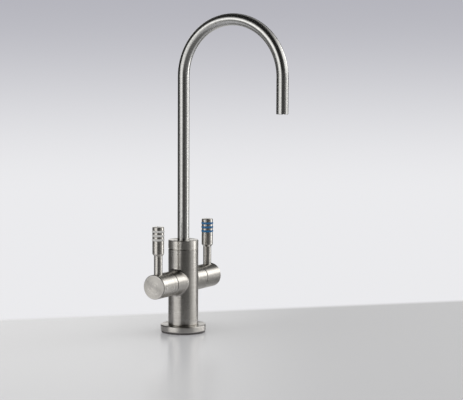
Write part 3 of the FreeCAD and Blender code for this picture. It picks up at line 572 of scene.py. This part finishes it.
# Where the metal sees past the floor: everywhere beyond a reach, and from nearer at some bearings
FLOOR_FADE_IN_METAL = (0.5, 0.78)
FLOOR_GAPS = (
    dict(bearing=-38, flat=38, soft=62, fade=(0.03, 0.12)),
    dict(bearing=95, flat=28, soft=46, fade=(0.05, 0.15)),
    dict(bearing=177, flat=15, soft=35, fade=(0.05, 0.15)),
)


def floor_mesh():
    """A flat disc round the tap, at the height of the worktop."""
    corners = []
    for step in range(FLOOR_SIDES):
        turn = 2 * math.pi * step / FLOOR_SIDES
        corners.append((FLOOR_RADIUS * math.cos(turn), FLOOR_RADIUS * math.sin(turn), 0))
    mesh = bpy.data.meshes.new("floor")
    mesh.from_pydata(corners, [], [range(FLOOR_SIDES)])
    return mesh


def floor_gap(tree, reach, bearing, flat, soft, fade):
    """One where the metal sees past the floor, between two bearings and beyond a reach."""
    window = bearing_window(tree, tree.object_place(), bearing, flat, soft)
    return tree.math("MULTIPLY", tree.ramp(reach, *fade), window)


def floor_edge(tree, reach):
    """One far out and behind the straight back edge, for rays from the camera, else nothing."""
    behind = (math.cos(FLOOR_EDGE_BEARING), math.sin(FLOOR_EDGE_BEARING), 0)
    depth = tree.vector("DOT_PRODUCT", tree.object_place(), behind, "Value")
    edge = tree.math("MAXIMUM", tree.ramp(reach, *FLOOR_FADE), tree.ramp(depth, *FLOOR_EDGE_FADE))
    paths = tree.add("ShaderNodeLightPath").node.outputs
    return tree.math("MULTIPLY", edge, paths["Is Camera Ray"])


def floor_material():
    """A pale speckled worktop that the metal sees past in places and that ends at a back edge."""
    material, tree, shader = new_material("floor")
    speckle = tree.noise(tree.object_place(), SPECKLES_PER_METRE, detail=2.0)
    speckle = tree.ramp(speckle, *NOISE_SPAN, 0.0, SPECKLE_DEPTH)
    tone = tree.mix_colours(seen_in_metal(tree), FLOOR_COLOUR, FLOOR_IN_METAL)
    tree.put(shader["Base Color"], tree.mix_colours(speckle, tone, SPECKLE_COLOUR))
    shader["Roughness"].default_value = FLOOR_ROUGHNESS
    shader["Specular IOR Level"].default_value = FLOOR_SPECULAR
    reach = tree.vector("LENGTH", tree.object_place(), output="Value")
    gaps = tree.ramp(reach, *FLOOR_FADE_IN_METAL)
    for gap in FLOOR_GAPS:
        gaps = tree.math("MAXIMUM", floor_gap(tree, reach, **gap), gaps)
    gaps = tree.math("MULTIPLY", gaps, seen_in_metal(tree))
    surface = tree.nodes["Principled BSDF"].outputs[0]
    clear = tree.add("ShaderNodeBsdfTransparent")
    with_gaps = tree.add("ShaderNodeMixShader", {0: gaps, 1: surface, 2: clear})
    wall = tree.add("ShaderNodeEmission", {"Color": BACKDROP_LOW})
    mixed = tree.add("ShaderNodeMixShader", {0: floor_edge(tree, reach), 1: with_gaps, 2: wall})
    tree.links.new(mixed, tree.nodes["Material Output"].inputs["Surface"])
    return material


def add_floor():
    mesh = floor_mesh()
    mesh.materials.append(floor_material())
    floor = bpy.data.objects.new("floor", mesh)
    bpy.context.scene.collection.objects.link(floor)


# The room that the metal reflects: soft panels at two sides and a pale wall behind

ROOM_TINT = (1.0, 0.99, 0.975)
ROOM_DIM = 0.02

# Each patch brightens between the two elevations below, and fades again between the two above
ROOM_PATCHES = (
    dict(bearing=-98, flat=12, soft=30, below=(-28, -10), above=(-4, 8), level=1.2),
    dict(bearing=-113, flat=13, soft=37, below=(-6, 4), above=(8, 50), level=1.9),
    dict(bearing=39, flat=5, soft=15, above=(-3, 9), level=2.9),
    dict(bearing=31, flat=25, soft=42, below=(-3, 7), above=(32, 66), level=1.45),
    dict(bearing=20, flat=5, soft=78, above=(10, 50), level=0.24),
    dict(bearing=66, flat=7, soft=14, below=(3, 9), above=(22, 36), level=3.3),
    dict(bearing=55, flat=15, soft=26, below=(12, 26), above=(32, 50), level=1.2),
    dict(bearing=62, flat=45, soft=85, below=(38, 50), above=(50, 75), level=0.6),
    dict(bearing=113, flat=8, soft=32, above=(2, 22), level=0.62),
    dict(bearing=130, flat=4, soft=18, below=(-1, 4), above=(12, 18), level=1.25),
    dict(bearing=75, flat=25, soft=40, below=(-2, 4), above=(8, 24), level=0.3),
    dict(bearing=155, flat=15, soft=40, below=(2, 12), above=(40, 60), level=0.1),
    dict(above=(-12, 2), level=0.17),
)


def soft_patch(tree, direction, height, bearing=0, flat=180, soft=181,
               below=(-90, -89), above=(89, 90), level=1.0):
    """A bright part of the room with soft edges, all round or at all heights where no limit is given."""
    across = bearing_window(tree, direction, bearing, flat, soft)
    start = tree.ramp(height, sine(below[0]), sine(below[1]))
    stop = tree.ramp(height, sine(above[0]), sine(above[1]), level, 0.0)
    return tree.math("MULTIPLY", across, tree.math("MULTIPLY", start, stop))


def room_light(tree, direction, height):
    """How bright the room is in a direction."""
    total = ROOM_DIM
    for patch in ROOM_PATCHES:
        total = tree.math("MAXIMUM", soft_patch(tree, direction, height, **patch), total)
    return total


# The plain backdrop that the camera sees, darker towards the top

BACKDROP_FLOOR = (0.60, 0.60, 0.615, 1)
BACKDROP_HIGH = (0.46, 0.46, 0.505, 1)
BACKDROP_FOOT = (-22, -13)
BACKDROP_RISE = (-0.09, 0.05)
PLAIN_LEVEL = (0.72, 0.72, 0.72, 1)


def add_world():
    """The backdrop for the camera, the room for the metal and a plain level for all else."""
    world = bpy.data.worlds.new("world")
    bpy.context.scene.world = world
    tree = Tree(world)
    direction = tree.add("ShaderNodeTexCoord", output="Generated")
    height = tree.add("ShaderNodeSeparateXYZ", {0: direction}, "Z")
    wall = tree.mix_colours(tree.ramp(height, *BACKDROP_RISE), BACKDROP_LOW, BACKDROP_HIGH)
    foot = tree.ramp(height, *[sine(elevation) for elevation in BACKDROP_FOOT])
    backdrop = tree.mix_colours(foot, BACKDROP_FLOOR, wall)
    room = tree.scaled(ROOM_TINT, room_light(tree, direction, height))
    plain_or_room = tree.mix_colours(seen_in_metal(tree), PLAIN_LEVEL, room)
    paths = tree.add("ShaderNodeLightPath").node.outputs
    colour = tree.mix_colours(paths["Is Camera Ray"], plain_or_room, backdrop)
    tree.put(tree.nodes["Background"].inputs["Color"], colour)
    world.cycles.sampling_method = "NONE"


# Soft studio lights: each is a panel that faces the middle of the tap

AIM = Vector((0.03, 0, 0.14))
PANELS = {
    "left_panel": dict(direction=(-0.573, -0.817, 0.35), distance=1.2, width=0.8, height=0.8, power=2.0),
    "right_panel": dict(direction=(0.62, 0.79, 0.35), distance=1.2, width=0.6, height=0.8, power=2.0),
    "top_panel": dict(direction=(0.1, -0.1, 1.0), distance=1.4, width=1.2, height=1.2, power=3.0),
}


def add_panel(name, direction, distance, width, height, power):
    data = bpy.data.lights.new(name, "AREA")
    data.shape = "RECTANGLE"
    data.size = width
    data.size_y = height
    data.energy = power
    light = bpy.data.objects.new(name, data)
    bpy.context.scene.collection.objects.link(light)
    light.visible_glossy = False
    towards = Vector(direction).normalized()
    light.location = AIM + towards * distance
    light.rotation_mode = "QUATERNION"
    light.rotation_quaternion = towards.to_track_quat("Z", "Y")


add_camera()
add_floor()
add_world()
for name, panel in PANELS.items():
    add_panel(name, **panel)
dress_steel()
dress_brass()
dress_moulded()
bpy.context.scene.view_settings.view_transform = "Standard"
